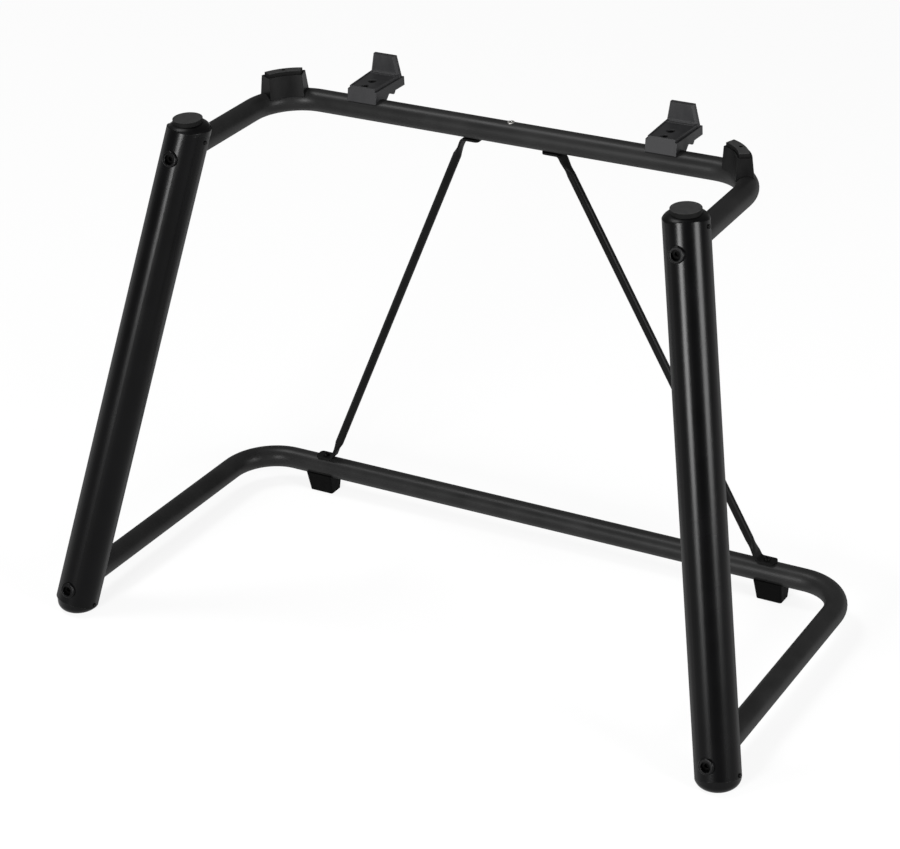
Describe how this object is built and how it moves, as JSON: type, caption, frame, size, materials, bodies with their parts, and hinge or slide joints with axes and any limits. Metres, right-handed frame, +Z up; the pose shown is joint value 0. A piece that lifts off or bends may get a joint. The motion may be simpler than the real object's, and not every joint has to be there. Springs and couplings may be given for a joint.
{
  "type": "keyboard stand",
  "caption": "Black keyboard stand: leaning round legs joined by bent tube frames at top and bottom, with slanting rear braces, stop brackets, corner rests and feet.",
  "frame": {"origin": "on the floor, under the middle of the stand's overall box", "axes": "+X to the stand's right as seen from its front, +Y to its back, +Z up"},
  "size_m": [1.0708, 0.5084, 0.708],
  "materials": {
    "leg_paint": "semi-gloss black powder coat",
    "frame_paint": "satin black powder coat",
    "cap_plastic": "semi-matte black moulded plastic",
    "bracket_plastic": "matte black moulded plastic",
    "pad_rubber": "matte black rubber",
    "black_screw": "black oxide",
    "bare_steel": "zinc plated"
  },
  "bodies": {
    "root": {"brace_rivet_nuts": "bare_steel", "brace_screws": "black_screw", "bracket_rivet_nuts": "bare_steel", "bracket_screws": "black_screw", "cap_screws": "black_screw", "centre_rivet_nut": "bare_steel", "corner_rest_rivet_nuts": "bare_steel", "corner_rest_screws": "black_screw", "left_brace": "frame_paint", "left_bracket": "bracket_plastic", "left_corner_rest": "bracket_plastic", "left_corner_rest_pad": "pad_rubber", "left_leg_foot": "cap_plastic", "left_leg_top_cap": "cap_plastic", "left_leg_tube": "leg_paint", "left_lower_arm_nut": "bare_steel", "left_lower_bolt_cup": "cap_plastic", "left_lower_bolt_spacer": "bare_steel", "left_rear_foot": "pad_rubber", "left_top_pad": "pad_rubber", "left_upper_arm_nut": "bare_steel", "left_upper_bolt_cup": "cap_plastic", "left_upper_bolt_spacer": "bare_steel", "leg_bolts": "black_screw", "lower_frame": "frame_paint", "rear_foot_rivet_nuts": "bare_steel", "rear_foot_screws": "black_screw", "right_brace": "frame_paint", "right_bracket": "bracket_plastic", "right_corner_rest": "bracket_plastic", "right_corner_rest_pad": "pad_rubber", "right_leg_foot": "cap_plastic", "right_leg_top_cap": "cap_plastic", "right_leg_tube": "leg_paint", "right_lower_arm_nut": "bare_steel", "right_lower_bolt_cup": "cap_plastic", "right_lower_bolt_spacer": "bare_steel", "right_rear_foot": "pad_rubber", "right_top_pad": "pad_rubber", "right_upper_arm_nut": "bare_steel", "right_upper_bolt_cup": "cap_plastic", "right_upper_bolt_spacer": "bare_steel", "upper_frame": "frame_paint"}
  },
  "joints": []
}
